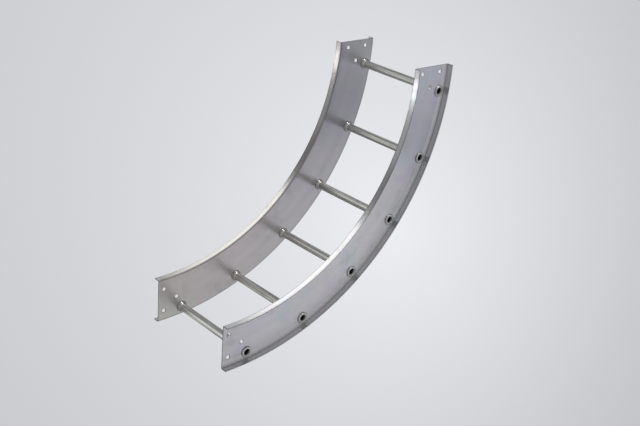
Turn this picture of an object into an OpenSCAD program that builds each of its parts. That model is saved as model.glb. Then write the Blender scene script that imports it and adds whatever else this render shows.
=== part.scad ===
// Inside riser for a cable ladder: two curved channel side rails joined by swaged tube rungs.
// The part lies on its side: the flange tips of the lower rail are on z = 0 and the rungs are upright.
// Millimetres. The origin is under the middle of the bounding box.

/* [Bend] */
// Angle that the ladder turns through
bend_angle = 90; // [45:5:90]
// Radius of the concave faces of the side rails
bend_r = 600; // [300:10:900]
// Clear width between the two webs
inner_w = 300; // [150:10:600]

/* [Side rails] */
// Depth of a side rail over its flanges
rail_d = 127; // [100:1:200]
// Width of a flange over the web
flange_w = 20; // [15:1:40]
// Thickness of the sheet
sheet_t = 2; // [1.5:0.1:3]
// Inside radius of the folds
fold_r = 1; // [1:0.5:6]

/* [Splice holes] */
// Diameter of a bolt hole
bolt_hole_d = 11; // [6:0.5:14]
// Distance between the two holes nearest the rail's end
pair_spacing = 66; // [40:1:70]
// From the rail's end to that pair
pair_inset = 18; // [12:1:30]
// From the pair to the single hole on the rail's middle line
single_step = 42; // [20:1:60]

/* [Rungs] */
// Rungs set out from each end of the bend
rungs_per_half = 3; // [1:1:3]
// Outside diameter of a rung
rung_d = 22; // [16:0.5:26]
// Wall of the rung tube
rung_wall = 1.5; // [1:0.1:2.5]
// From a rung's axis to the convex face of the rails
rung_inset = 23; // [22:0.5:40]
// From the low end to the first rung's axis, along the circle of rungs
rung_from_low = 78; // [70:1:100]
// From the last rung's axis to the high end, along the circle of rungs
rung_from_high = 74; // [70:1:100]
// From one rung to the next, along the circle of rungs
rung_pitch = 193; // [60:1:194]

/* [Swaged ends] */
// Diameter of the bead that seats on the inner face of a web
bead_d = 30; // [28:0.5:34]
// Thickness of the bead
bead_t = 4; // [2:0.5:6]
// Diameter of the shoulder where it leaves the bead
shoulder_d = 26; // [26:0.5:28]
// Length of the shoulder between the bead and the plain tube
shoulder_l = 5; // [2:0.5:10]
// Diameter of the lip rolled over the outer face of a web
lip_d = 30; // [28:0.5:34]
// Height of the lip over the web
lip_h = 4; // [3:0.5:8]
// Clearance round the tube in the hole of the web
swage_gap = 0.1; // [0.05:0.05:0.3]

/* [Hidden] */
$fn = 96;
rung_count = 2 * rungs_per_half;

sheet_col = [0.66, 0.66, 0.68];
tube_col = [0.58, 0.58, 0.60];

rail_mid_r = bend_r + rail_d / 2;
convex_r = bend_r + rail_d;
rung_circle_r = convex_r - rung_inset;

tube_r = rung_d / 2;
bore_r = tube_r - rung_wall;
web_hole_r = tube_r + swage_gap;
lip_edge_r = (lip_d / 2 - bore_r) / 3;
bead_edge_r = bead_t / 2;

// Heights of the lower web's inner face and of the middle of the ladder
lower_face_z = flange_w;
mid_z = lower_face_z + inner_w / 2;

// Middle of the bounding box, from the centre of the bend
box_mid_x = convex_r * sin(bend_angle) / 2;
box_mid_y = -(convex_r + bend_r * cos(bend_angle)) / 2;

// Angle of a point on the circle of rungs, from its distance along that circle
function rung_angle(distance) = distance / rung_circle_r * 180 / PI;

// Rungs 1 to rungs_per_half are set out from the low end and the rest from the high end
function rung_place(i) = i <= rungs_per_half
    ? rung_angle(rung_from_low + (i - 1) * rung_pitch)
    : bend_angle - rung_angle(rung_from_high + (rung_count - i) * rung_pitch);

// Puts children, drawn round the centre of the bend, on the part's own origin
module on_origin() {
    translate([-box_mid_x, -box_mid_y, 0]) children();
}

// Turns children to an angle along the bend, where +X is outward and +Y runs up the bend
module at_angle(angle) {
    rotate([0, 0, angle - 90]) children();
}

// Mirrors children about the middle height of the ladder
module upper_side() {
    translate([0, 0, 2 * mid_z]) mirror([0, 0, 1]) children();
}

// Rectangle with its two top corners rounded
module crowned_block(width, height, corner) {
    square([width, height - corner]);
    translate([corner, 0]) square([width - 2 * corner, height]);
    translate([corner, height - corner]) circle(r = corner);
    translate([width - corner, height - corner]) circle(r = corner);
}

// Section of a side rail, open side down, web on top
module rail_section() {
    difference() {
        crowned_block(rail_d, flange_w, fold_r + sheet_t);
        translate([sheet_t, 0]) crowned_block(rail_d - 2 * sheet_t, flange_w - sheet_t, fold_r);
    }
}

// Drill through the web at a place on the end of the bend
module web_drill(out, along, radius) {
    translate([out, along, flange_w - 2 * sheet_t]) cylinder(r = radius, h = 3 * sheet_t);
}

// The three splice holes of one end; side is 1 at the low end and -1 at the high end
module splice_holes(side) {
    for (s = [-1, 1])
        web_drill(rail_mid_r + s * pair_spacing / 2, side * pair_inset, bolt_hole_d / 2);
    web_drill(rail_mid_r, side * (pair_inset + single_step), bolt_hole_d / 2);
}

module side_rail() {
    difference() {
        at_angle(0) rotate_extrude(angle = bend_angle, $fn = 360) translate([bend_r, 0]) rail_section();
        at_angle(0) splice_holes(1);
        at_angle(bend_angle) splice_holes(-1);
        for (i = [1 : rung_count])
            at_angle(rung_place(i)) web_drill(rung_circle_r, 0, web_hole_r);
    }
}

module side_rail_lower() {
    color(sheet_col) on_origin() side_rail();
}

module side_rail_upper() {
    color(sheet_col) on_origin() upper_side() side_rail();
}

// Rectangle from the axis to a radius, with its outer top corner rounded
module rimmed_block(radius, height, corner) {
    square([radius, height - corner]);
    square([radius - corner, height]);
    translate([radius - corner, height - corner]) circle(r = corner);
}

// Half section of one swaged end, solid to the axis; y = 0 is the web's inner face
module swaged_end_section() {
    // Bead that seats on the inner face, and its shoulder
    mirror([0, 1]) rimmed_block(bead_d / 2, bead_t, bead_edge_r);
    polygon([[0, -bead_t / 2], [shoulder_d / 2, -bead_t / 2], [shoulder_d / 2, -bead_t],
             [tube_r, -bead_t - shoulder_l], [0, -bead_t - shoulder_l]]);
    // Lip rolled over the outer face
    translate([0, sheet_t]) rimmed_block(lip_d / 2, lip_h, lip_edge_r);
}

// Ring that rounds the mouth of the bore, up to y = 0
module mouth_round_section() {
    translate([bore_r - lip_edge_r, -lip_edge_r]) difference() {
        square([2 * lip_edge_r, 2 * lip_edge_r]);
        translate([2 * lip_edge_r, 0]) circle(r = lip_edge_r);
    }
}

// One tube, swaged at both ends, on the z axis
module rung() {
    end_z = inner_w / 2 + sheet_t + lip_h;
    translate([0, 0, mid_z]) difference() {
        union() {
            cylinder(r = tube_r, h = inner_w + 3 * sheet_t, center = true);
            for (s = [0, 1])
                mirror([0, 0, s]) translate([0, 0, inner_w / 2]) rotate_extrude() swaged_end_section();
        }
        cylinder(r = bore_r, h = 2 * end_z + 2, center = true);
        for (s = [0, 1])
            mirror([0, 0, s]) translate([0, 0, end_z]) rotate_extrude() mouth_round_section();
    }
}

module placed_rung(i) {
    color(tube_col) on_origin() at_angle(rung_place(i)) translate([rung_circle_r, 0, 0]) rung();
}

side_rail_lower();
side_rail_upper();
for (i = [1 : rung_count])
    placed_rung(i);
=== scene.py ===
"""Looks for a cable ladder inside riser: two curved channel side rails joined by six swaged tube rungs.

Lengths are in metres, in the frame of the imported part. The bend lies on its side, so the rungs stand
upright and the centre of the bend is at the low corner of X and the high corner of Y.
"""

from __future__ import annotations

import logging
import math
from collections.abc import Mapping, Sequence
from dataclasses import dataclass, field, fields
from enum import Enum
from functools import reduce
from typing import Any, ClassVar

import bpy
from mathutils import Matrix, Vector


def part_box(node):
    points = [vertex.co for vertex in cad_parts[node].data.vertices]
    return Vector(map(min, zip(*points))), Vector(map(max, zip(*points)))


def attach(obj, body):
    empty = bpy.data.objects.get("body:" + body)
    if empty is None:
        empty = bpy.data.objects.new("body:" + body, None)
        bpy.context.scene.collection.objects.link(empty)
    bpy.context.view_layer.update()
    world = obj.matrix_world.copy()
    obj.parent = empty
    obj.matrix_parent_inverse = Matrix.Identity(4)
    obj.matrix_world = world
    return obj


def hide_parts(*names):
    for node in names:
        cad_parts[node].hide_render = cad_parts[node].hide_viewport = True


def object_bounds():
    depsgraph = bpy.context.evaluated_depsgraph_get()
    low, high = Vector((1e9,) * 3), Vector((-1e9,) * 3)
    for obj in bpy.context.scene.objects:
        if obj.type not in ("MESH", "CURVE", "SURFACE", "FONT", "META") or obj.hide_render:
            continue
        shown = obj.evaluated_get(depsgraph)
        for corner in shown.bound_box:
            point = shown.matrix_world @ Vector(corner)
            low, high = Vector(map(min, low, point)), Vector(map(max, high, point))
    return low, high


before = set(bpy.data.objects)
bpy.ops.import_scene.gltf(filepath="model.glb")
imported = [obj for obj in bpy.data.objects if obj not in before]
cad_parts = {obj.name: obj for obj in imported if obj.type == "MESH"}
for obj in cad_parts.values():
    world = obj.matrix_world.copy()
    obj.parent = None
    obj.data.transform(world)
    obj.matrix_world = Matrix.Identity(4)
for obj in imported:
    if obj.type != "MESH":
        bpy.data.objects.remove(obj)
CAD_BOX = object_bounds()

LOG = logging.getLogger("ladder")
MM = 0.001
BODY = "root"
RUNG_PREFIX = "rung_"

# Attribute of the rungs' mesh that keeps each rung's own coordinates, measured from its middle
TUBE_PLACE = "tube_local"

ORIGIN = (0.0, 0.0, 0.0)
WHITE = (1.0, 1.0, 1.0)

Triple = tuple[float, float, float]
Colour = Triple
Stops = tuple[tuple[float, Colour], ...]
Socket = bpy.types.NodeSocket
Value = Socket | float | str | Sequence[float] | bpy.types.Material
Inputs = Mapping[str | int, Value]


class Side(Enum):
    """The two side rails, by the height that they lie at."""

    LOWER = "side_rail_lower"
    UPPER = "side_rail_upper"


class Reach(Enum):
    """What a light falls on."""

    RUNGS_ALONE = "INCLUDE"
    ALL_BUT_RUNGS = "EXCLUDE"


@dataclass(frozen=True)
class Fade:
    """Where an effect is full and where it has gone, on its own scale, and how strong it is."""

    full: float
    gone: float
    strength: Value = 1.0


class Graph:
    """Adds nodes to one node tree and links them."""

    # Sockets of a Mix node that carry colours; their names are not unique
    MIX_FACTOR, MIX_FIRST, MIX_SECOND, MIX_RESULT = 0, 6, 7, 2

    def __init__(self, tree: bpy.types.NodeTree) -> None:
        """Keeps the tree that the nodes go into."""
        self.tree = tree

    def add(self, kind: str, values: Inputs | None = None, **settings: Any) -> bpy.types.Node:
        """Adds one node.

        Args:
            kind: The node's type name.
            values: What each input gets, by name or number: a socket to link, or a constant.
            settings: Properties of the node, such as operation.

        Returns:
            The new node.
        """
        node = self.tree.nodes.new(kind)
        for name, setting in settings.items():
            setattr(node, name, setting)
        for key, value in (values or {}).items():
            self.feed(node.inputs[key], value)
        return node

    def feed(self, socket: Socket, value: Value) -> None:
        """Links a socket to an input, or sets the input to a constant.

        Args:
            socket: The input.
            value: A socket or a constant. A colour may leave out its alpha, which is then 1.
        """
        if isinstance(value, bpy.types.NodeSocket):
            self.tree.links.new(value, socket)
        elif socket.type == "RGBA" and len(value) == 3:
            socket.default_value = (*value, 1.0)
        else:
            socket.default_value = value

    def math(self, operation: str, *values: Value) -> Socket:
        """Adds a Math node and returns its result."""
        return self.add("ShaderNodeMath", dict(enumerate(values)), operation=operation).outputs[0]

    def plus(self, *values: Value) -> Socket:
        """Adds numbers, from left to right."""
        return reduce(lambda total, value: self.math("ADD", total, value), values)

    def minus(self, a: Value, b: Value) -> Socket:
        """Subtracts the second number from the first."""
        return self.math("SUBTRACT", a, b)

    def times(self, *values: Value) -> Socket:
        """Multiplies numbers, from left to right."""
        return reduce(lambda total, value: self.math("MULTIPLY", total, value), values)

    def swing(self, grey: Socket, *amounts: Value) -> Socket:
        """Turns a grey value from 0 to 1 into a swing about zero, as wide as the product of the amounts."""
        return self.times(self.minus(grey, 0.5), *amounts)

    def vector(self, operation: str, *values: Value) -> Socket:
        """Adds a Vector Math node and returns its vector, or its number for a length."""
        node = self.add("ShaderNodeVectorMath", dict(enumerate(values)), operation=operation)
        return node.outputs["Value" if operation == "LENGTH" else "Vector"]

    def xyz(self, x: Value, y: Value, z: Value) -> Socket:
        """Joins three numbers into a vector."""
        return self.add("ShaderNodeCombineXYZ", {0: x, 1: y, 2: z}).outputs[0]

    def split(self, vector: Socket) -> tuple[Socket, Socket, Socket]:
        """Splits a vector into its three numbers."""
        node = self.add("ShaderNodeSeparateXYZ", {0: vector})
        return node.outputs[0], node.outputs[1], node.outputs[2]

    def ramp(self, value: Socket, start: Value, end: Value, low: Value = 0.0, high: Value = 1.0) -> Socket:
        """Maps a value smoothly from start..end to low..high, and keeps it there outside.

        Args:
            value: The value to map.
            start: Where the result is low.
            end: Where the result is high.
            low: The result at and before start.
            high: The result at and after end.

        Returns:
            The mapped value.
        """
        values = {"Value": value, "From Min": start, "From Max": end, "To Min": low, "To Max": high}
        return self.add("ShaderNodeMapRange", values, interpolation_type="SMOOTHSTEP").outputs[0]

    def fade(self, value: Socket, fade: Fade) -> Socket:
        """Maps a value to the fade's strength where it is full, and to 0 where it has gone."""
        return self.ramp(value, fade.gone, fade.full, 0.0, fade.strength)

    def mix(self, factor: Value, a: Value, b: Value, blend: str = "MIX") -> Socket:
        """Mixes two colours.

        Args:
            factor: Share of the second colour.
            a: First colour.
            b: Second colour.
            blend: Name of the blend mode.

        Returns:
            The mixed colour.
        """
        values = {self.MIX_FACTOR: factor, self.MIX_FIRST: a, self.MIX_SECOND: b}
        return self.add("ShaderNodeMix", values, data_type="RGBA", blend_type=blend).outputs[self.MIX_RESULT]

    def shade(self, colour: Value, tone: Value) -> Socket:
        """Multiplies a colour by a number."""
        return self.mix(1.0, colour, self.xyz(tone, tone, tone), "MULTIPLY")

    def coats(self, colour: Value, *coats: tuple[Value, Value]) -> Socket:
        """Lays coats over a colour, one after another, each a mask and the colour that it lets in."""
        return reduce(lambda under, coat: self.mix(coat[0], under, coat[1]), coats, colour)

    def noise(self, vector: Socket, scale: Value, detail: float = 2.0, rough: float = 0.5) -> Socket:
        """Adds a noise texture and returns its grey value."""
        values = {"Vector": vector, "Scale": scale, "Detail": detail, "Roughness": rough}
        return self.add("ShaderNodeTexNoise", values).outputs[0]

    def stops(self, value: Socket, stops: Stops) -> Socket:
        """Adds a colour ramp.

        Args:
            value: The value to look up, from 0 to 1.
            stops: Place and colour of each stop, in order.

        Returns:
            The ramp's colour.
        """
        node = self.add("ShaderNodeValToRGB", {0: value})
        elements = node.color_ramp.elements
        node.color_ramp.interpolation = "EASE"
        for _ in range(len(stops) - len(elements)):
            elements.new(1.0)
        for element, (place, colour) in zip(elements, stops):
            element.position = place
            element.color = (*colour, 1.0)
        return node.outputs[0]

    def group(self, tree: bpy.types.NodeTree, values: Inputs) -> bpy.types.Node:
        """Places a shader node group with its own values."""
        return self.add("ShaderNodeGroup", values, node_tree=tree)

    def bump(self, height: Socket) -> Socket:
        """Adds a Bump node for a height in metres and returns its normal."""
        values = {"Height": height, "Strength": 1.0, "Distance": 1.0}
        return self.add("ShaderNodeBump", values).outputs["Normal"]

    def surface(self, kind: str, values: Inputs) -> None:
        """Adds a shader and makes it the material's surface."""
        self.add("ShaderNodeOutputMaterial", {"Surface": self.add(kind, values).outputs[0]})


def new_group(
    name: str, inputs: Mapping[str, Value], outputs: Mapping[str, str]
) -> tuple[bpy.types.NodeTree, Graph, Mapping[str, Socket], Mapping[str, Socket]]:
    """Makes an empty shader node group.

    Args:
        name: Name of the group.
        inputs: Name and default of each input: a number, or three for a vector, or four for a colour.
        outputs: Name and kind of each output.

    Returns:
        The group, a graph to fill it, and the sockets that its inputs give and its outputs take, by name.
    """
    tree = bpy.data.node_groups.new(name, "ShaderNodeTree")
    for label, default in inputs.items():
        kind = "Float" if isinstance(default, float) else {3: "Vector", 4: "Color"}[len(default)]
        socket = tree.interface.new_socket(label, in_out="INPUT", socket_type=f"NodeSocket{kind}")
        socket.default_value = default
    for label, kind in outputs.items():
        tree.interface.new_socket(label, in_out="OUTPUT", socket_type=f"NodeSocket{kind}")
    graph = Graph(tree)
    entry = graph.add("NodeGroupInput")
    leave = graph.add("NodeGroupOutput")
    given = {socket.name: socket for socket in entry.outputs if socket.name}
    taken = {socket.name: socket for socket in leave.inputs if socket.name}
    return tree, graph, given, taken


def new_material(name: str) -> tuple[bpy.types.Material, Graph]:
    """Makes an empty material.

    Args:
        name: Name of the material.

    Returns:
        The material, and a graph to fill it.
    """
    material = bpy.data.materials.new(name)
    material.use_nodes = True
    material.node_tree.nodes.clear()
    return material, Graph(material.node_tree)


def new_object(name: str, data: bpy.types.ID) -> bpy.types.Object:
    """Makes an object and puts it in the scene.

    Args:
        name: Name of the object.
        data: Its mesh, light or camera.

    Returns:
        The object.
    """
    made = bpy.data.objects.new(name, data)
    bpy.context.scene.collection.objects.link(made)
    return made


def rung_nodes() -> list[str]:
    """Lists the part's rungs by the names of their nodes."""
    return sorted(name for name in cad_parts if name.startswith(RUNG_PREFIX))


@dataclass(frozen=True)
class Bend:
    """Where the bend lies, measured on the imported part, and where its bolt holes are."""

    centre: Vector
    concave_r: float
    convex_r: float
    top: float
    rung_places: tuple[Vector, ...]

    FLANGE_W: ClassVar[float] = 20 * MM
    PAIR_INSET: ClassVar[float] = 18 * MM
    SINGLE_INSET: ClassVar[float] = 60 * MM
    PAIR_SPACING: ClassVar[float] = 66 * MM

    @classmethod
    def from_frame(cls) -> Bend:
        """Measures the bend on the CAD nodes.

        Returns:
            The bend, with the centre of each rung at floor level.
        """
        low, high = (Vector(corner) for corner in CAD_BOX)
        centre = Vector((low.x, high.y, 0.0))
        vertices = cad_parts[Side.LOWER.value].data.vertices
        concave_r = min((Vector((v.co.x, v.co.y, 0.0)) - centre).length for v in vertices)
        places = []
        for name in rung_nodes():
            corners = [Vector(corner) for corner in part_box(name)]
            middle = (corners[0] + corners[1]) / 2
            places.append(Vector((middle.x, middle.y, 0.0)))
        return cls(centre, concave_r, high.x - low.x, high.z, tuple(places))

    @property
    def middle_r(self) -> float:
        """Radius of the rails' middle line."""
        return (self.concave_r + self.convex_r) / 2

    @property
    def bolt_holes(self) -> tuple[Vector, ...]:
        """Centres of the bolt holes, which both rails have.

        Returns:
            The holes of the low end and then of the high end, at floor level.
        """
        half = self.PAIR_SPACING / 2
        low_end = (
            (self.PAIR_INSET, -self.middle_r - half),
            (self.PAIR_INSET, -self.middle_r + half),
            (self.SINGLE_INSET, -self.middle_r),
        )
        holes = [self.centre + Vector((x, y, 0.0)) for x, y in low_end]
        holes += [self.centre + Vector((-y, -x, 0.0)) for x, y in low_end]
        return tuple(holes)


class Effects:
    """Shader node groups that more than one material uses."""

    def __init__(self, bend: Bend) -> None:
        """Makes the groups.

        Args:
            bend: Where the bend lies, for the group that lays it flat.
        """
        self.laid_flat = self._laid_flat(bend)
        self.grain = self._grain()
        self.edge_rub = self._edge_rub()
        self.mottle = self._mottle()
        self.smudges = self._smudges()
        self.ring = self._ring()

    def _laid_flat(self, bend: Bend) -> bpy.types.NodeTree:
        """Makes the group that gives a point's place along the bend, across it and in height.

        Args:
            bend: Where the bend lies.

        Returns:
            The group.
        """
        tree, g, ins, out = new_group(
            "laid flat",
            {"Vector": ORIGIN, "Centre": tuple(bend.centre), "Middle radius": bend.middle_r},
            {"Place": "Vector", "Along": "Float", "Radius": "Float"},
        )
        x, y, z = g.split(g.vector("SUBTRACT", ins["Vector"], ins["Centre"]))
        radius = g.vector("LENGTH", g.xyz(x, y, 0.0))
        along = g.times(g.math("ARCTAN2", y, x), ins["Middle radius"])
        g.feed(out["Place"], g.xyz(along, radius, z))
        g.feed(out["Along"], along)
        g.feed(out["Radius"], radius)
        return tree

    def _grain(self) -> bpy.types.NodeTree:
        """Makes the group for the fine lines that rolling and brushing leave.

        Returns:
            The group.
        """
        tree, g, ins, out = new_group(
            "rolled grain",
            {"Vector": ORIGIN, "Line length": 60 * MM, "Line width": 0.8 * MM},
            {"Lines": "Float", "Broad lines": "Float"},
        )
        broader = (0.3, 0.09, 0.09)
        lengthways = g.math("DIVIDE", 1.0, ins["Line length"])
        across = g.math("DIVIDE", 1.0, ins["Line width"])
        stretched = g.vector("MULTIPLY", ins["Vector"], g.xyz(lengthways, across, across))
        g.feed(out["Lines"], g.noise(stretched, 1.0, detail=3.0, rough=0.6))
        g.feed(out["Broad lines"], g.noise(g.vector("MULTIPLY", stretched, broader), 1.0))
        return tree

    def _edge_rub(self) -> bpy.types.NodeTree:
        """Makes the group that marks a worn band beside an edge, from the distance to it.

        Returns:
            The group.
        """
        tree, g, ins, out = new_group(
            "edge rub",
            {"Vector": ORIGIN, "Distance": 0.0, "Width": 1 * MM, "Raggedness": 0.5, "Scale": 160.0},
            {"Mask": "Float"},
        )
        both_sides = 2.0
        rough = g.noise(ins["Vector"], ins["Scale"], detail=3.0, rough=0.6)
        shift = g.swing(rough, ins["Raggedness"], ins["Width"], both_sides)
        g.feed(out["Mask"], g.ramp(g.plus(ins["Distance"], shift), ins["Width"], 0.0))
        return tree

    def _mottle(self) -> bpy.types.NodeTree:
        """Makes the group for faint patches of two tints over a metal's own colour.

        Returns:
            The group.
        """
        tree, g, ins, out = new_group(
            "sheet mottle",
            {
                "Vector": ORIGIN,
                "Scale": 14.0,
                "Amount": 0.5,
                "Metal": (0.6, 0.6, 0.6, 1.0),
                "Cool": (0.5, 0.6, 0.6, 1.0),
                "Warm": (0.6, 0.5, 0.6, 1.0),
            },
            {"Color": "Color", "Patches": "Float"},
        )
        patch = Fade(full=0.68, gone=0.5, strength=ins["Amount"])
        elsewhere = (3.1, 1.7, 5.3)
        finer = 1.6
        patches = g.noise(ins["Vector"], ins["Scale"], detail=4.0, rough=0.55)
        moved = g.vector("ADD", ins["Vector"], elsewhere)
        others = g.noise(moved, g.times(ins["Scale"], finer), detail=3.0)
        tints = ((g.fade(patches, patch), ins["Cool"]), (g.fade(others, patch), ins["Warm"]))
        g.feed(out["Color"], g.coats(ins["Metal"], *tints))
        g.feed(out["Patches"], patches)
        return tree

    def _smudges(self) -> bpy.types.NodeTree:
        """Makes the group for the dull smears and short scratches that handling leaves.

        Returns:
            The group.
        """
        tree, g, ins, out = new_group(
            "handling marks",
            {"Vector": ORIGIN, "Scale": 22.0, "Seed": 0.0},
            {"Smears": "Float", "Scratches": "Float"},
        )
        warp_by = (0.02, 0.05, 0.0)
        cells = (14.0, 90.0, 90.0)
        patch_scale = 31.0
        moved = g.vector("ADD", ins["Vector"], g.xyz(ins["Seed"], ins["Seed"], 0.0))
        soft = g.noise(moved, ins["Scale"], detail=5.0, rough=0.65)
        g.feed(out["Smears"], g.fade(soft, Fade(full=0.72, gone=0.52)))
        warped = g.vector("ADD", moved, g.vector("MULTIPLY", g.xyz(soft, soft, 0.0), warp_by))
        edges = g.add(
            "ShaderNodeTexVoronoi",
            {"Vector": g.vector("MULTIPLY", warped, cells), "Scale": 1.0},
            feature="DISTANCE_TO_EDGE",
        )
        lines = g.fade(edges.outputs["Distance"], Fade(full=0.0, gone=0.012))
        scratched = g.fade(g.noise(moved, patch_scale), Fade(full=0.7, gone=0.55))
        g.feed(out["Scratches"], g.times(lines, scratched))
        return tree

    def _ring(self) -> bpy.types.NodeTree:
        """Makes the group that paints a ring of shade round an upright hole or tube.

        Returns:
            The group.
        """
        tree, g, ins, out = new_group(
            "dull ring",
            {"Vector": ORIGIN, "Centre": ORIGIN, "Inner": 6 * MM, "Outer": 10 * MM},
            {"Mask": "Float"},
        )
        ragged_scale = 90.0
        ragged_by = 5 * MM
        x, y, _ = g.split(g.vector("SUBTRACT", ins["Vector"], ins["Centre"]))
        distance = g.vector("LENGTH", g.xyz(x, y, 0.0))
        ragged = g.swing(g.noise(ins["Vector"], ragged_scale, detail=3.0), ragged_by)
        g.feed(out["Mask"], g.ramp(g.plus(distance, ragged), ins["Outer"], ins["Inner"]))
        return tree


@dataclass(frozen=True)
class SheetMap:
    """What a side rail's finish reads: where a point of the rail is and what marks it has.

    The distances to_tip, to_fold and to_cut run from the free edges' height, from the corner line of the
    nearer fold and from the nearest cut edge. The masks flange and web are 1 on those faces.
    """

    g: Graph
    bend: Bend
    effects: Effects
    place: Socket
    normal: Socket
    radius: Socket
    along: Socket
    to_tip: Socket
    to_fold: Socket
    to_cut: Socket
    flange: Socket
    web: Socket
    rub: Socket
    grain: bpy.types.Node
    mottle: bpy.types.Node
    marks: bpy.types.Node


@dataclass(frozen=True)
class SheetFinish:
    """Satin finish of one stainless side rail.

    Four tones are the rail's own: metal, with cool and warm for its patches, and tip for the strip beside
    the free edges of its flanges, which lie at the height tip_z. The web's tone from the low end to the high
    end is painted light and shade. One dark tone is that of the cut edges, and also paints shade along the
    folds' corners and round the holes and rungs.
    """

    name: str
    metal: Colour
    cool: Colour
    warm: Colour
    tip: Colour
    tip_z: float
    seed: float
    drift: Stops
    flange_tone: float = 1.0
    # Dark tone of the cut edges; it also paints shade along the folds' corners and round the holes and rungs
    sheared: Colour = (0.20, 0.20, 0.195)
    worn: Colour = (0.8, 0.8, 0.8)
    # Pale tone that paints a band of light on the web's outer face
    polished: Colour = (0.9, 0.9, 0.9)

    # Rolled lines, patches and smears
    line_length: float = 120 * MM
    line_width: float = 2.4 * MM
    line_shade: float = 0.22
    patch_scale: float = 9.0
    patch_shade: float = 0.9
    smear_scale: float = 19.0
    smear_shade: float = 0.05

    # Bands beside the edges, by the distance from them; the band along the folds is painted shade in their
    # corners
    tip_band: Fade = Fade(full=1.5 * MM, gone=7 * MM, strength=0.45)
    fold_band: Fade = Fade(full=2.5 * MM, gone=5.5 * MM, strength=0.6)
    cut_band: Fade = Fade(full=0.1 * MM, gone=0.5 * MM, strength=0.85)
    rub_width: float = 1.6 * MM
    rub_shade: float = 0.2

    # Rings of painted shade on the webs, a contact shadow round each rung, as distances from the middle of a
    # hole or rung
    hole_ring: Fade = Fade(full=5 * MM, gone=9 * MM)
    rung_ring: Fade = Fade(full=15 * MM, gone=18.5 * MM)
    ring_shade: float = 0.6

    # Painted light: a lighter band on the web's outer face; how far from the convex face, and how far from
    # the fold
    painted_light_band: Fade = Fade(full=14 * MM, gone=24 * MM)
    off_fold: Fade = Fade(full=8 * MM, gone=4 * MM, strength=0.6)

    # How upright the normal is: hardly on the flanges, and fully, away from the rungs, on an outer face
    flange_faces: Fade = Fade(full=0.35, gone=0.75)
    outer_face: Fade = Fade(full=0.8, gone=0.4)

    roughness: float = 0.30
    web_roughness: float = 0.38
    smear_roughness: float = 0.07
    line_roughness: float = 0.06
    rub_roughness: float = -0.05
    stretch: float = 0.95
    buckle_depth: float = 0.05 * MM
    line_depth: float = 0.0022 * MM
    scratch_depth: float = 0.01 * MM

    def build(self, bend: Bend, effects: Effects) -> bpy.types.Material:
        """Builds the material.

        Args:
            bend: Where the bend lies.
            effects: The shared shader groups.

        Returns:
            The material, on Object coordinates.
        """
        material, g = new_material(self.name)
        sheet = self._map(g, bend, effects)
        g.surface(
            "ShaderNodeBsdfPrincipled",
            {
                "Base Color": self._face_tones(sheet, self._edge_tones(sheet)),
                "Metallic": 1.0,
                "Roughness": self._roughness(sheet),
                "Anisotropic": self.stretch,
                "Tangent": self._tangent(sheet),
                "Normal": self._relief(sheet),
            },
        )
        return material

    def _map(self, g: Graph, bend: Bend, effects: Effects) -> SheetMap:
        """Adds the nodes that the rest of the finish reads.

        Args:
            g: The material's graph.
            bend: Where the bend lies.
            effects: The shared shader groups.

        Returns:
            What they give.
        """
        place = g.add("ShaderNodeTexCoord").outputs["Object"]
        normal = g.add("ShaderNodeNewGeometry").outputs["Normal"]
        flat = g.group(effects.laid_flat, {"Vector": place})
        flat_place = flat.outputs["Place"]
        radius = flat.outputs["Radius"]

        x, y, z = g.split(place)
        to_tip = g.math("ABSOLUTE", g.minus(z, self.tip_z))
        to_side = g.math("MINIMUM", g.minus(radius, bend.concave_r), g.minus(bend.convex_r, radius))
        to_fold = g.vector("LENGTH", g.xyz(to_side, g.minus(bend.FLANGE_W, to_tip), 0.0))
        to_end = g.math("MINIMUM", g.minus(x, bend.centre.x), g.minus(bend.centre.y, y))
        to_cut = g.math("MINIMUM", to_tip, to_end)
        flange = g.fade(g.math("ABSOLUTE", g.split(normal)[2]), self.flange_faces)

        lines = {"Vector": flat_place, "Line length": self.line_length, "Line width": self.line_width}
        patches = {
            "Vector": g.vector("ADD", flat_place, (self.seed, 0.0, 0.0)),
            "Scale": self.patch_scale,
            "Amount": self.patch_shade,
            "Metal": self.metal,
            "Cool": self.cool,
            "Warm": self.warm,
        }
        marks = {"Vector": flat_place, "Scale": self.smear_scale, "Seed": self.seed}
        rub = {"Vector": place, "Distance": to_cut, "Width": self.rub_width}
        return SheetMap(
            g=g,
            bend=bend,
            effects=effects,
            place=place,
            normal=normal,
            radius=radius,
            along=flat.outputs["Along"],
            to_tip=to_tip,
            to_fold=to_fold,
            to_cut=to_cut,
            flange=flange,
            web=g.minus(1.0, flange),
            rub=g.group(effects.edge_rub, rub).outputs["Mask"],
            grain=g.group(effects.grain, lines),
            mottle=g.group(effects.mottle, patches),
            marks=g.group(effects.smudges, marks),
        )

    def _edge_tones(self, sheet: SheetMap) -> Socket:
        """Adds the bare sheet's colour, with its lines and smears and the bands beside its edges, of which
        the fold band is painted shade.

        Args:
            sheet: What the finish reads.

        Returns:
            The colour.
        """
        g = sheet.g
        lines = g.swing(sheet.grain.outputs["Broad lines"], self.line_shade)
        smears = g.times(sheet.marks.outputs["Smears"], -self.smear_shade)
        return g.coats(
            g.shade(sheet.mottle.outputs["Color"], g.plus(1.0, g.plus(lines, smears))),
            (g.fade(sheet.to_tip, self.tip_band), self.tip),
            # Painted shade along the corner of each fold
            (g.fade(sheet.to_fold, self.fold_band), self.sheared),
            (g.times(sheet.rub, self.rub_shade), self.worn),
            (g.fade(sheet.to_cut, self.cut_band), self.sheared),
        )

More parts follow.
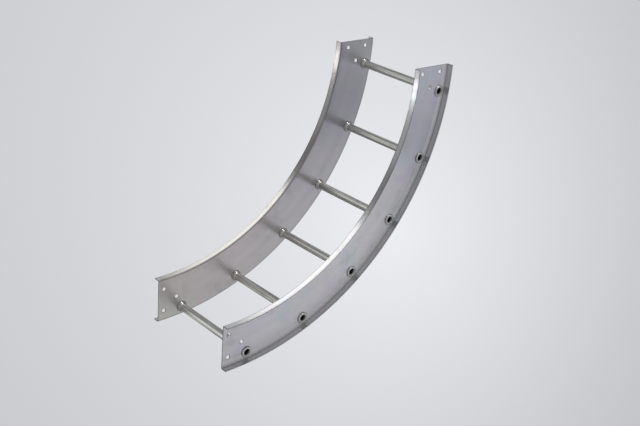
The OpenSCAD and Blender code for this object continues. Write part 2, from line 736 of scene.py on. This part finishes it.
    def _face_tones(self, sheet: SheetMap, colour: Socket) -> Socket:
        """Adds the rings of painted shade, the painted light and shade along the web and its painted lighter
        band, and the tone of the flanges.

        Args:
            sheet: What the finish reads.
            colour: The colour so far.

        Returns:
            The finished colour.
        """
        g, bend = sheet.g, sheet.bend
        rings = [(hole, self.hole_ring) for hole in bend.bolt_holes]
        rings += [(rung, self.rung_ring) for rung in bend.rung_places]
        # Painted shade round each bolt hole and painted contact shadow round each rung
        painted_shade_rings = 0.0
        for centre, ring in rings:
            values = {"Vector": sheet.place, "Centre": centre, "Inner": ring.full, "Outer": ring.gone}
            painted_shade_rings = g.math("MAXIMUM", painted_shade_rings, g.group(sheet.effects.ring, values).outputs["Mask"])

        # Painted light and shade along the web, from the low end to the high end
        quarter_turn = bend.middle_r * math.pi / 2
        drift = g.stops(g.plus(1.0, g.math("DIVIDE", sheet.along, quarter_turn)), self.drift)
        # Painted light: a lighter band on the outer face beside the convex fold
        outward = 1.0 if self.tip_z > 0.0 else -1.0
        painted_light_mask = g.times(
            g.fade(g.times(g.split(sheet.normal)[2], outward), self.outer_face),
            g.fade(g.minus(bend.convex_r, sheet.radius), self.painted_light_band),
            g.fade(sheet.to_fold, self.off_fold),
        )
        # The rings' painted shade goes on the web alone
        colour = g.mix(g.times(painted_shade_rings, sheet.web, self.ring_shade), colour, self.sheared)
        colour = g.mix(sheet.web, colour, g.mix(1.0, colour, drift, "MULTIPLY"))
        colour = g.mix(painted_light_mask, colour, self.polished)
        return g.shade(colour, g.plus(1.0, g.times(sheet.flange, self.flange_tone - 1.0)))

    def _roughness(self, sheet: SheetMap) -> Socket:
        """Adds the roughness, which smears, lines and worn edges change a little.

        Args:
            sheet: What the finish reads.

        Returns:
            The roughness.
        """
        g = sheet.g
        step = self.roughness - self.web_roughness
        plain = g.math("MULTIPLY_ADD", sheet.flange, step, self.web_roughness)
        smears = g.times(sheet.marks.outputs["Smears"], self.smear_roughness)
        lines = g.swing(sheet.grain.outputs["Lines"], self.line_roughness)
        return g.plus(plain, smears, lines, g.times(sheet.rub, self.rub_roughness))

    def _relief(self, sheet: SheetMap) -> Socket:
        """Adds the relief of faint buckles, rolled lines and scratches.

        Args:
            sheet: What the finish reads.

        Returns:
            The normal.
        """
        g = sheet.g
        buckles = g.times(sheet.mottle.outputs["Patches"], self.buckle_depth)
        lines = g.times(sheet.grain.outputs["Lines"], self.line_depth)
        scratches = g.times(sheet.marks.outputs["Scratches"], self.scratch_depth)
        return g.bump(g.minus(g.plus(buckles, lines), scratches))

    def _tangent(self, sheet: SheetMap) -> Socket:
        """Adds the direction across the rolled lines, which the sheet scatters light along.

        Args:
            sheet: What the finish reads.

        Returns:
            The direction, along the surface and square to the bend.
        """
        g = sheet.g
        level = (1.0, 1.0, 0.0)
        upwards = (0.0, 0.0, 1.0)
        outward = g.vector("MULTIPLY", g.vector("SUBTRACT", sheet.place, sheet.bend.centre), level)
        rolling = g.vector("CROSS_PRODUCT", upwards, outward)
        return g.vector("NORMALIZE", g.vector("CROSS_PRODUCT", rolling, sheet.normal))


@dataclass(frozen=True)
class RungSizes:
    """Sizes of one swaged rung: those of the part's source, with slightly smaller rounds."""

    inner_width: float = 300 * MM
    sheet: float = 2 * MM
    tube_radius: float = 11 * MM
    bore_radius: float = 9.5 * MM
    bead_radius: float = 15 * MM
    bead_thickness: float = 4 * MM
    bead_round: float = 1.9 * MM
    shoulder_radius: float = 13 * MM
    shoulder_length: float = 5 * MM
    lip_radius: float = 15 * MM
    lip_height: float = 4 * MM
    lip_round: float = 1.8 * MM

    @property
    def half_length(self) -> float:
        """Distance from the middle of the rung to the top of its lip."""
        return self.inner_width / 2 + self.sheet + self.lip_height

    def by_label(self) -> Mapping[str, float]:
        """Lists the sizes by the labels of the inputs that take them, such as Tube radius."""
        return {size.name.replace("_", " ").capitalize(): getattr(self, size.name) for size in fields(self)}


@dataclass(frozen=True)
class TubeMap:
    """What the tubes' finish reads: the height along a rung, masks that are 1 on its zones, and its marks."""

    g: Graph
    height: Socket
    rolled: Socket
    soot: Socket
    crease: Socket
    lip: Socket
    foot: Socket
    bore: Socket
    deep: Socket
    seam: Socket
    mottle: bpy.types.Node
    grain: bpy.types.Node
    drawn: bpy.types.Node
    marks: bpy.types.Node


@dataclass(frozen=True)
class TubeFinish:
    """Satin finish of the rung tubes, brighter where the swaging tool rolled them."""

    name: str = "rung_tube_satin"
    metal: Colour = (0.54, 0.54, 0.52)
    dark: Colour = (0.43, 0.43, 0.415)
    warm: Colour = (0.51, 0.475, 0.44)
    rolled: Colour = (0.50, 0.485, 0.465)
    lip: Colour = (0.50, 0.50, 0.49)
    seam: Colour = (0.44, 0.42, 0.40)
    # Dark tone of the drawn streaks, which also paints shade in the crease and at the lip's foot
    streak: Colour = (0.27, 0.27, 0.265)
    bore: Colour = (0.36, 0.36, 0.355)
    # Near-black painted shade deep in the bore
    painted_bore_shade: Colour = (0.015, 0.015, 0.015)

    # Drawn lines, long dark streaks, patches and smears
    line_length: float = 50 * MM
    line_width: float = 0.9 * MM
    line_shade: float = 0.3
    streak_length: float = 250 * MM
    streak_width: float = 4.5 * MM
    streak_share: Fade = Fade(full=0.42, gone=0.54, strength=0.72)
    patch_scale: float = 34.0
    patch_shade: float = 0.55
    smear_scale: float = 40.0
    smear_seed: float = 7.0

    # Zones by the distance from the web's inner face, which is negative beyond that face
    rolled_zone: Fade = Fade(full=8 * MM, gone=11 * MM)
    soot_zone: Fade = Fade(full=12 * MM, gone=28 * MM)
    soot_shade: float = 0.1
    lip_zone: Fade = Fade(full=-2 * MM, gone=-1 * MM)
    # The crease is painted shade in the groove between the bead and the shoulder
    crease_at: float = 4.6 * MM
    crease_zone: Fade = Fade(full=0.6 * MM, gone=1.7 * MM, strength=0.8)

    # Painted shadow at the foot of the lip, from the web's outer face, and painted shade deep in the bore,
    # from the lip's top
    foot_zone: Fade = Fade(full=-0.3 * MM, gone=-1.1 * MM)
    foot_shade: float = 0.8
    deep_zone: Fade = Fade(full=9 * MM, gone=3 * MM)

    # Weld seam along the tube, and painted light on its lower end, from the rung's middle
    seam_zone: Fade = Fade(full=0.3 * MM, gone=0.9 * MM)
    seam_shade: float = 0.5
    low_zone: Fade = Fade(full=-100 * MM, gone=10 * MM)
    low_tone: float = 1.4

    roughness: float = 0.43
    line_roughness: float = 0.14
    smear_roughness: float = 0.08
    rolled_roughness: float = -0.17
    line_depth: float = 0.012 * MM
    seam_height: float = 0.05 * MM

    def build(self, effects: Effects, rung: RungSizes) -> bpy.types.Material:
        """Builds the material.

        Args:
            effects: The shared shader groups.
            rung: Sizes of a rung, which say where its plain tube ends.

        Returns:
            The material, on Object coordinates and on each rung's own, kept in an attribute.
        """
        material, g = new_material(self.name)
        tube = self._map(g, effects, rung)
        fine = g.swing(tube.grain.outputs["Lines"], self.line_roughness)
        smears = g.times(tube.marks.outputs["Smears"], self.smear_roughness)
        worked = g.times(tube.rolled, self.rolled_roughness)
        relief = g.times(tube.grain.outputs["Lines"], self.line_depth)
        g.surface(
            "ShaderNodeBsdfPrincipled",
            {
                "Base Color": self._colour(tube),
                "Metallic": g.minus(1.0, tube.bore),
                "Roughness": g.plus(self.roughness, fine, smears, worked),
                "Normal": g.bump(g.plus(relief, g.times(tube.seam, self.seam_height))),
            },
        )
        return material

    def _map(self, g: Graph, effects: Effects, rung: RungSizes) -> TubeMap:
        """Adds the nodes that the rest of the finish reads.

        Args:
            g: The material's graph.
            effects: The shared shader groups.
            rung: Sizes of a rung.

        Returns:
            What they give.
        """
        place = g.add("ShaderNodeTexCoord").outputs["Object"]
        x, y, z = g.split(g.add("ShaderNodeAttribute", attribute_name=TUBE_PLACE).outputs["Vector"])
        lengthways = g.xyz(z, x, y)
        radius = g.vector("LENGTH", g.xyz(x, y, 0.0))
        from_middle = g.math("ABSOLUTE", z)
        to_web = g.minus(rung.inner_width / 2, from_middle)
        lip = g.fade(to_web, self.lip_zone)
        rolled = g.times(g.fade(to_web, self.rolled_zone), g.minus(1.0, lip))
        bore_wall = Fade(full=rung.bore_radius + 0.2 * MM, gone=rung.tube_radius - 0.6 * MM)

        patches = {
            "Vector": place,
            "Scale": self.patch_scale,
            "Amount": self.patch_shade,
            "Metal": self.metal,
            "Cool": self.dark,
            "Warm": self.warm,
        }
        lines = {"Vector": lengthways, "Line length": self.line_length, "Line width": self.line_width}
        streaks = {"Vector": lengthways, "Line length": self.streak_length, "Line width": self.streak_width}
        marks = {"Vector": place, "Scale": self.smear_scale, "Seed": self.smear_seed}
        return TubeMap(
            g=g,
            height=z,
            rolled=rolled,
            soot=g.times(g.fade(to_web, self.soot_zone), g.minus(1.0, rolled)),
            crease=g.fade(g.math("ABSOLUTE", g.minus(to_web, self.crease_at)), self.crease_zone),
            lip=lip,
            foot=g.times(lip, g.fade(g.plus(to_web, rung.sheet), self.foot_zone)),
            bore=g.fade(radius, bore_wall),
            deep=g.fade(g.minus(rung.half_length, from_middle), self.deep_zone),
            seam=g.times(g.fade(g.math("ABSOLUTE", y), self.seam_zone), g.math("GREATER_THAN", x, 0.0)),
            mottle=g.group(effects.mottle, patches),
            grain=g.group(effects.grain, lines),
            drawn=g.group(effects.grain, streaks),
            marks=g.group(effects.smudges, marks),
        )

    def _colour(self, tube: TubeMap) -> Socket:
        """Adds the tube's colour.

        Args:
            tube: What the finish reads.

        Returns:
            The colour.
        """
        g = tube.g
        lines = g.plus(1.0, g.swing(tube.grain.outputs["Broad lines"], self.line_shade))
        # Painted light: the lower end of each tube is lighter
        tone = g.ramp(tube.height, self.low_zone.full, self.low_zone.gone, self.low_tone, 1.0)
        return g.coats(
            g.shade(tube.mottle.outputs["Color"], g.times(lines, tone)),
            (g.fade(tube.drawn.outputs["Lines"], self.streak_share), self.streak),
            (g.times(tube.seam, self.seam_shade), self.seam),
            (g.times(tube.soot, self.soot_shade), self.seam),
            (tube.rolled, self.rolled),
            # Painted shade in the crease between bead and shoulder
            (tube.crease, self.streak),
            (tube.lip, self.lip),
            # Painted contact shadow at the foot of the lip
            (g.times(tube.foot, self.foot_shade), self.streak),
            # The bore's wall, with painted shade deeper in
            (tube.bore, g.mix(tube.deep, self.bore, self.painted_bore_shade)),
        )


@dataclass
class SideRails:
    """The two channel side rails, which keep the part's own shapes."""

    bend: Bend
    effects: Effects

    def finishes(self) -> Mapping[Side, SheetFinish]:
        """Sets out the finish of each rail.

        Returns:
            The finishes.
        """
        lower = SheetFinish(
            name="rail_sheet_lower",
            metal=(0.55, 0.53, 0.53),
            cool=(0.52, 0.53, 0.51),
            warm=(0.56, 0.51, 0.52),
            tip=(0.30, 0.31, 0.26),
            tip_z=0.0,
            seed=0.4,
            # Painted light and shade along the lower web
            drift=(
                (0.0, (0.98, 0.97, 0.93)),
                (0.3, (1.02, 1.0, 1.01)),
                (0.62, (0.96, 0.97, 1.02)),
                (0.82, (0.78, 0.81, 0.88)),
                (1.0, (0.95, 0.98, 1.03)),
            ),
            flange_tone=0.91,
        )
        upper = SheetFinish(
            name="rail_sheet_upper",
            metal=(0.61, 0.61, 0.63),
            cool=(0.56, 0.60, 0.63),
            warm=(0.60, 0.57, 0.64),
            tip=(0.34, 0.34, 0.33),
            tip_z=self.bend.top,
            seed=4.2,
            # Painted light and shade along the upper web
            drift=(
                (0.0, (0.94, 0.93, 0.94)),
                (0.25, (1.06, 1.05, 1.05)),
                (0.46, (1.14, 1.13, 1.12)),
                (0.68, (1.03, 1.02, 1.02)),
                (0.80, (0.86, 0.86, 0.91)),
                (1.0, (1.10, 1.10, 1.16)),
            ),
        )
        return {Side.LOWER: lower, Side.UPPER: upper}

    def dress(self) -> None:
        """Gives each rail its finish."""
        for side, finish in self.finishes().items():
            material = finish.build(self.bend, self.effects)
            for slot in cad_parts[side.value].material_slots:
                slot.material = material
            LOG.info("%s: %s", side.value, material.name)


@dataclass
class Rungs:
    """The six tubes, turned from one section of the tube's wall by Geometry Nodes, set on their centres."""

    bend: Bend
    sizes: RungSizes = field(default_factory=RungSizes)
    around: int = 72
    round_steps: int = 5
    ripple: float = 0.12 * MM
    rim: Fade = Fade(full=3 * MM, gone=0.5 * MM)
    wander: float = 1.4
    weld: float = 0.01 * MM
    seed: int = 11

    # Sockets of a Random Value node that carry plain numbers; their names are not unique
    RANDOM_MIN: ClassVar[int] = 2
    RANDOM_MAX: ClassVar[int] = 3
    RANDOM_VALUE: ClassVar[int] = 1

    def _section(self, g: Graph, ins: Mapping[str, Socket]) -> Socket:
        """Adds the closed section of the tube wall, in the XZ plane beside the Z axis.

        Args:
            g: The tree to add to.
            ins: The tree's input sockets by name.

        Returns:
            The section as a curve.
        """
        web = g.math("DIVIDE", ins["Inner width"], 2.0)
        bead_low = g.minus(web, ins["Bead thickness"])
        shoulder_low = g.minus(bead_low, ins["Shoulder length"])
        outer = g.plus(web, ins["Sheet"])
        end = g.plus(outer, ins["Lip height"])
        corners = (
            (ins["Tube radius"], shoulder_low, 0.0),
            (ins["Shoulder radius"], bead_low, 0.0),
            (ins["Bead radius"], bead_low, ins["Bead round"]),
            (ins["Bead radius"], web, 0.0),
            (ins["Tube radius"], web, 0.0),
            (ins["Tube radius"], outer, 0.0),
            (ins["Lip radius"], outer, 0.0),
            (ins["Lip radius"], end, ins["Lip round"]),
            (ins["Bore radius"], end, ins["Lip round"]),
        )

        # The line of points runs up the upper half and back along its mirror image below
        count = 2 * len(corners)
        index = g.add("GeometryNodeInputIndex").outputs[0]
        half = g.math("MINIMUM", index, g.minus(float(count - 1), index))
        is_upper = g.math("LESS_THAN", index, len(corners) - 0.5)
        sign = g.minus(g.times(is_upper, 2.0), 1.0)
        whole = g.add("FunctionNodeFloatToInt", {0: half}).outputs[0]
        place = g.add("GeometryNodeIndexSwitch", {"Index": whole}, data_type="VECTOR")
        turn = g.add("GeometryNodeIndexSwitch", {"Index": whole}, data_type="FLOAT")
        for switch in (place, turn):
            for _ in range(len(corners) - len(switch.index_switch_items)):
                switch.index_switch_items.new()
        for number, (radius, height, rounding) in enumerate(corners, start=1):
            g.feed(place.inputs[number], g.xyz(radius, 0.0, height))
            g.feed(turn.inputs[number], rounding)

        position = g.vector("MULTIPLY", place.outputs[0], g.xyz(1.0, 1.0, sign))
        line = g.add("GeometryNodeMeshLine", {"Count": count})
        shaped = g.add("GeometryNodeSetPosition", {"Geometry": line.outputs[0], "Position": position})
        curve = g.add("GeometryNodeMeshToCurve", {0: shaped.outputs[0]})
        closed = g.add("GeometryNodeSetSplineCyclic", {0: curve.outputs[0], "Cyclic": True})
        kept = g.add(
            "GeometryNodeStoreNamedAttribute",
            {"Geometry": closed.outputs[0], "Name": "turn", "Value": turn.outputs[0]},
            data_type="FLOAT",
        )
        named = g.add("GeometryNodeInputNamedAttribute", {"Name": "turn"}, data_type="FLOAT")
        fillet = g.add(
            "GeometryNodeFilletCurve",
            {0: kept.outputs[0], "Count": self.round_steps, "Radius": named.outputs[0]},
            mode="POLY",
        )
        return fillet.outputs[0]

    def _turned(self, g: Graph, ins: Mapping[str, Socket]) -> Socket:
        """Adds one rung, its section turned round the Z axis, with its own coordinates kept.

        Args:
            g: The tree to add to.
            ins: The tree's input sockets by name.

        Returns:
            The rung as a mesh.
        """
        section = self._section(g, ins)
        size = g.add("GeometryNodeAttributeDomainSize", {0: section}, component="CURVE")
        points = size.outputs[0]
        columns = self.around + 1
        grid = g.add("GeometryNodeMeshGrid", {"Vertices X": g.plus(points, 1.0), "Vertices Y": columns})

        # Each row of the grid takes one point of the section, and the last row the first point again
        index = g.add("GeometryNodeInputIndex").outputs[0]
        row = g.math("FLOOR", g.math("DIVIDE", g.plus(index, 0.5), float(columns)))
        column = g.minus(index, g.times(row, float(columns)))
        wrapped = g.math("FLOORED_MODULO", g.plus(row, 0.25), points)
        wrapped = g.add("FunctionNodeFloatToInt", {0: wrapped}, rounding_mode="FLOOR").outputs[0]
        at = g.add("GeometryNodeInputPosition").outputs[0]
        sample = g.add(
            "GeometryNodeSampleIndex",
            {"Geometry": section, "Value": at, "Index": wrapped},
            data_type="FLOAT_VECTOR",
            domain="POINT",
        )
        radius, _, height = g.split(sample.outputs[0])
        turn = g.times(column, math.tau / self.around)
        cosine = g.math("COSINE", turn)
        sine = g.math("SINE", turn)

        # A hand-swaged end isn't quite round: its rim wanders by about a tenth of a millimetre
        rim = g.fade(g.minus(radius, ins["Tube radius"]), self.rim)
        round_it = g.xyz(g.times(cosine, self.wander), g.times(sine, self.wander), height)
        radius = g.plus(radius, g.swing(g.noise(round_it, 1.0), rim, ins["Ripple"]))
        position = g.xyz(g.times(radius, cosine), g.times(radius, sine), height)
        shaped = g.add("GeometryNodeSetPosition", {"Geometry": grid.outputs[0], "Position": position})
        welded = g.add("GeometryNodeMergeByDistance", {"Geometry": shaped.outputs[0], "Distance": self.weld})
        own_place = g.add("GeometryNodeInputPosition").outputs[0]
        stored = g.add(
            "GeometryNodeStoreNamedAttribute",
            {"Geometry": welded.outputs[0], "Name": TUBE_PLACE, "Value": own_place},
            data_type="FLOAT_VECTOR",
            domain="POINT",
        )
        return stored.outputs[0]

    def _tree(self, material: bpy.types.Material) -> bpy.types.NodeTree:
        """Makes the Geometry Nodes tree.

        Args:
            material: The rungs' finish.

        Returns:
            The tree: it takes points at the rungs' centres and gives the rungs.
        """
        tree = bpy.data.node_groups.new("swaged rungs", "GeometryNodeTree")
        numbers = dict.fromkeys([*self.sizes.by_label(), "Ripple"], "Float")
        kinds = {"Centres": "Geometry", **numbers, "Seed": "Int"}
        for label, kind in kinds.items():
            tree.interface.new_socket(label, in_out="INPUT", socket_type=f"NodeSocket{kind}")
        tree.interface.new_socket("Rungs", in_out="OUTPUT", socket_type="NodeSocketGeometry")
        g = Graph(tree)
        ins = {socket.name: socket for socket in g.add("NodeGroupInput").outputs if socket.name}
        rung = self._turned(g, ins)

        # Each rung is turned by chance, so that no two show the same side
        chance = {"Seed": ins["Seed"], self.RANDOM_MIN: 0.0, self.RANDOM_MAX: math.tau}
        random = g.add("FunctionNodeRandomValue", chance, data_type="FLOAT")
        turn = g.xyz(0.0, 0.0, random.outputs[self.RANDOM_VALUE])
        rungs = {"Points": ins["Centres"], "Instance": rung, "Rotation": turn}
        placed = g.add("GeometryNodeInstanceOnPoints", rungs)
        real = g.add("GeometryNodeRealizeInstances", {0: placed.outputs[0]})
        dressed = g.add("GeometryNodeSetMaterial", {"Geometry": real.outputs[0], "Material": material})
        g.add("NodeGroupOutput", {0: dressed.outputs[0]})
        return tree

    def build(self, material: bpy.types.Material) -> bpy.types.Object:
        """Builds the rungs as one plain mesh.

        Args:
            material: The rungs' finish.

        Returns:
            The object that stands for the part's six rungs.
        """
        middle_z = self.bend.top / 2
        centres = bpy.data.meshes.new("rung_centres")
        centres.from_pydata([(place.x, place.y, middle_z) for place in self.bend.rung_places], [], [])
        maker = new_object("rung_maker", centres)
        tree = self._tree(material)
        modifier = maker.modifiers.new("rungs", "NODES")
        modifier.node_group = tree
        values = {**self.sizes.by_label(), "Ripple": self.ripple, "Seed": self.seed}
        for item in tree.interface.items_tree:
            if item.in_out == "INPUT" and item.name in values:
                modifier[item.identifier] = values[item.name]
        bpy.context.view_layer.update()
        depsgraph = bpy.context.evaluated_depsgraph_get()
        mesh = bpy.data.meshes.new_from_object(maker.evaluated_get(depsgraph), depsgraph=depsgraph)
        mesh.name = "swaged_rungs"
        bpy.data.objects.remove(maker)
        return new_object("swaged_rungs", mesh)


def limit_reach(light: bpy.types.Object, rungs: bpy.types.Object, reach: Reach) -> None:
    """Limits what a light falls on.

    Args:
        light: The light.
        rungs: The rungs.
        reach: Whether it falls on the rungs alone or on all but them.
    """
    listed = bpy.data.collections.new(f"{light.name}_reach")
    listed.objects.link(rungs)
    listed.collection_objects[0].light_linking.link_state = reach.value
    light.light_linking.receiver_collection = listed


@dataclass(frozen=True)
class Softbox:
    """A soft panel of light far from the part, by where it stands in the sky or under the floor.

    Its places and sizes are in degrees, as seen from the part.
    """

    azimuth: float
    elevation: float
    half_width: float
    half_height: float
    edge: float
    strength: float
    tint: Colour = WHITE

    def add(self, g: Graph, direction: Socket, elevation: Socket, light: Socket) -> Socket:
        """Adds the panel to the light all round.

        Args:
            g: The world's graph.
            direction: The direction looked in.
            elevation: The angle of that direction over the floor's level.
            light: The light so far.

        Returns:
            The light with the panel's added.
        """
        turn = {"Vector": direction, "Angle": -math.radians(self.azimuth)}
        turned = g.add("ShaderNodeVectorRotate", turn, rotation_type="Z_AXIS")
        x, y, _ = g.split(turned.outputs[0])
        sideways = g.math("ABSOLUTE", g.math("ARCTAN2", y, x))
        upwards = g.math("ABSOLUTE", g.minus(elevation, math.radians(self.elevation)))
        half_edge = math.radians(self.edge) / 2
        wide = math.radians(self.half_width)
        high = math.radians(self.half_height)
        mask = g.times(
            g.fade(sideways, Fade(full=wide - half_edge, gone=wide + half_edge)),
            g.fade(upwards, Fade(full=high - half_edge, gone=high + half_edge)),
        )
        panel = tuple(self.strength * part for part in self.tint)
        return g.mix(mask, light, g.mix(1.0, light, panel, "ADD"))


@dataclass(frozen=True)
class Wall:
    """An upright lit wall under the floor's level, by its direction and its limits in degrees."""

    azimuth: float
    half_width: float
    strength: float
    tint: Colour = WHITE
    reach: Reach = Reach.ALL_BUT_RUNGS
    low: float = -77.0
    high: float = -9.0
    distance: float = 4.0

    def build(self, rungs: bpy.types.Object) -> None:
        """Builds the wall as a light that the camera doesn't see.

        Args:
            rungs: The rungs, which are all that it lights, or all that it leaves out.
        """
        data = bpy.data.lights.new("wall", "AREA")
        data.shape = "RECTANGLE"
        top, foot = (self.distance * math.tan(math.radians(angle)) for angle in (self.high, self.low))
        data.size = 2 * self.distance * math.tan(math.radians(self.half_width))
        data.size_y = top - foot
        data.energy = math.pi * self.strength * data.size * data.size_y
        data.color = self.tint
        wall = new_object("wall", data)
        turn = math.radians(self.azimuth)
        outward = Vector((math.cos(turn), math.sin(turn), 0.0))
        place = outward * self.distance + Vector((0.0, 0.0, (top + foot) / 2))
        wall.matrix_world = Matrix.Translation(place) @ outward.to_track_quat("Z", "Y").to_matrix().to_4x4()
        wall.visible_camera = False
        limit_reach(wall, rungs, self.reach)


@dataclass(frozen=True)
class KeyLight:
    """The small light that draws a bright point on each bead, shoulder and lip."""

    comes_from: Triple = (0.14, 0.98, 0.10)
    strength: float = 2.0
    width: float = 10.0

    def build(self, rungs: bpy.types.Object) -> None:
        """Builds the light.

        Args:
            rungs: The rungs, which are all that it lights.
        """
        data = bpy.data.lights.new("key", "SUN")
        data.energy = self.strength
        data.angle = math.radians(self.width)
        key = new_object("key", data)
        key.matrix_world = Vector(self.comes_from).to_track_quat("Z", "Y").to_matrix().to_4x4()
        limit_reach(key, rungs, Reach.RUNGS_ALONE)


@dataclass(frozen=True)
class Floor:
    """Pale floor with an oval glow, which fades with the distance from its middle up to a limit."""

    tint: Colour
    glow_at: Triple = (0.518, -0.2747, 0.0)
    glow_turn: float = 0.91375
    glow_squash: float = 0.6652
    glow_limit: float = 2.2
    tone: float = 0.8737
    fall: float = -0.30085
    fall_ease: float = 0.06613
    radius: float = 24.0
    sides: int = 64

    def build(self) -> None:
        """Builds the floor as a wide disc that sheds no light on the part."""
        mesh = bpy.data.meshes.new("floor")
        turns = [math.tau * side / self.sides for side in range(self.sides)]
        rim = [(self.radius * math.cos(turn), self.radius * math.sin(turn), 0.0) for turn in turns]
        mesh.from_pydata(rim, [], [tuple(range(self.sides))])
        floor = new_object("floor", mesh)
        floor.visible_glossy = False
        floor.visible_diffuse = False
        floor.visible_shadow = False
        material, g = new_material("pale_floor")
        oval = {
            "Vector": g.add("ShaderNodeTexCoord").outputs["Object"],
            "Location": self.glow_at,
            "Rotation": (0.0, 0.0, self.glow_turn),
            "Scale": (1.0, 1 / self.glow_squash, 1.0),
        }
        turned = g.add("ShaderNodeMapping", oval, vector_type="TEXTURE")
        away = g.math("MINIMUM", g.vector("LENGTH", turned.outputs[0]), self.glow_limit)
        fall = g.math("MULTIPLY_ADD", away, self.fall_ease, self.fall)
        tone = g.math("MULTIPLY_ADD", away, fall, self.tone)
        g.surface("ShaderNodeEmission", {"Color": g.shade(self.tint, tone), "Strength": 1.0})
        mesh.materials.append(material)


@dataclass(frozen=True)
class Camera:
    """The camera, which looks down on the bend from its concave side."""

    eye: Triple = (-1.885738, 1.158731, 2.345965)
    forward: Triple = (0.61641858, -0.38821378, -0.68506802)
    up: Triple = (0.20054606, 0.9187287, -0.34017473)
    lens: float = 63.3146
    sensor_width: float = 36.0
    reach: float = 100.0

    def build(self) -> None:
        """Builds the camera and makes it the scene's."""
        forward = Vector(self.forward).normalized()
        right = forward.cross(Vector(self.up).normalized()).normalized()
        up = right.cross(forward)
        data = bpy.data.cameras.new("camera")
        data.lens = self.lens
        data.sensor_width = self.sensor_width
        data.sensor_fit = "HORIZONTAL"
        data.clip_end = self.reach
        camera = new_object("camera", data)
        turn = Matrix((right, up, -forward)).transposed().to_4x4()
        camera.matrix_world = Matrix.Translation(Vector(self.eye)) @ turn
        bpy.context.scene.camera = camera


@dataclass
class Studio:
    """Soft light all round, lit walls, the floor and the camera."""

    softboxes: tuple[Softbox, ...] = (
        # Fill low on the left, for the concave flanges near the low end
        Softbox(44.0, -43.0, 18.0, 34.0, 20.0, 0.45),
        # Fills that the concave flanges mirror near the high end
        Softbox(168.0, -43.0, 13.0, 34.0, 10.0, 0.20),
        Softbox(207.0, -43.0, 12.0, 34.0, 6.0, 0.15),
        # Panel that the webs mirror, which ends before the high end's direction
        Softbox(-50.0, 45.0, 27.0, 34.0, 18.0, 0.60, (0.97, 0.98, 1.03)),
        # Pale band all round the horizon
        Softbox(0.0, 8.0, 180.0, 15.0, 10.0, 0.35),
        # Broad sky beyond the bend's centre, for the flanges' inner faces and the tubes
        Softbox(122.0, 42.0, 88.0, 34.0, 30.0, 0.22, (0.98, 1.0, 0.97)),
    )
    walls: tuple[Wall, ...] = (
        # Large wall beyond the bend's centre, which whitens the concave flanges
        Wall(94.0, 32.0, 1.85, (1.0, 0.995, 0.96)),
        # Narrow strip that they mirror near the high end
        Wall(186.6, 1.7, 8.5),
        # Wall that the middle of each tube mirrors
        Wall(176.0, 60.0, 0.78, (1.0, 1.0, 0.99), Reach.RUNGS_ALONE),
    )
    sky: Colour = (0.36, 0.36, 0.37)
    ground: Colour = (0.22, 0.22, 0.22)
    horizon: float = 0.25
    backdrop: Colour = (0.979, 0.989, 1.031)
    backdrop_tone: float = 0.53

    def build(self, rungs: bpy.types.Object) -> None:
        """Builds the world, the lights, the floor and the camera.

        Args:
            rungs: The rungs, which have lights of their own.
        """
        self._world()
        for wall in self.walls:
            wall.build(rungs)
        KeyLight().build(rungs)
        Floor(self.backdrop).build()
        Camera().build()
        bpy.context.scene.view_settings.view_transform = "Standard"

    def _world(self) -> None:
        """Makes the light all round, which the camera sees as the plain backdrop."""
        world = bpy.data.worlds.new("studio")
        bpy.context.scene.world = world
        world.use_nodes = True
        world.node_tree.nodes.clear()
        g = Graph(world.node_tree)
        direction = g.vector("NORMALIZE", g.add("ShaderNodeTexCoord").outputs["Generated"])
        height = g.split(direction)[2]
        elevation = g.math("ARCSINE", height)
        light = g.mix(g.ramp(height, -self.horizon, self.horizon), self.ground, self.sky)
        for softbox in self.softboxes:
            light = softbox.add(g, direction, elevation, light)
        seen = g.add("ShaderNodeLightPath").outputs["Is Camera Ray"]
        plain = tuple(self.backdrop_tone * part for part in self.backdrop)
        background = g.add("ShaderNodeBackground", {"Color": g.mix(seen, light, plain), "Strength": 1.0})
        g.add("ShaderNodeOutputWorld", {"Surface": background.outputs[0]})


def main() -> None:
    """Builds and dresses the ladder, then the studio round it."""
    logging.basicConfig(level=logging.INFO, format="%(name)s: %(message)s")
    bend = Bend.from_frame()
    effects = Effects(bend)
    SideRails(bend, effects).dress()

    maker = Rungs(bend)
    rungs = maker.build(TubeFinish().build(effects, maker.sizes))
    names = rung_nodes()
    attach(rungs, BODY)
    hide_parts(*names)
    LOG.info("%s: %d faces for %d rungs", rungs.name, len(rungs.data.polygons), len(names))

    Studio().build(rungs)


if __name__ == "__main__":
    main()
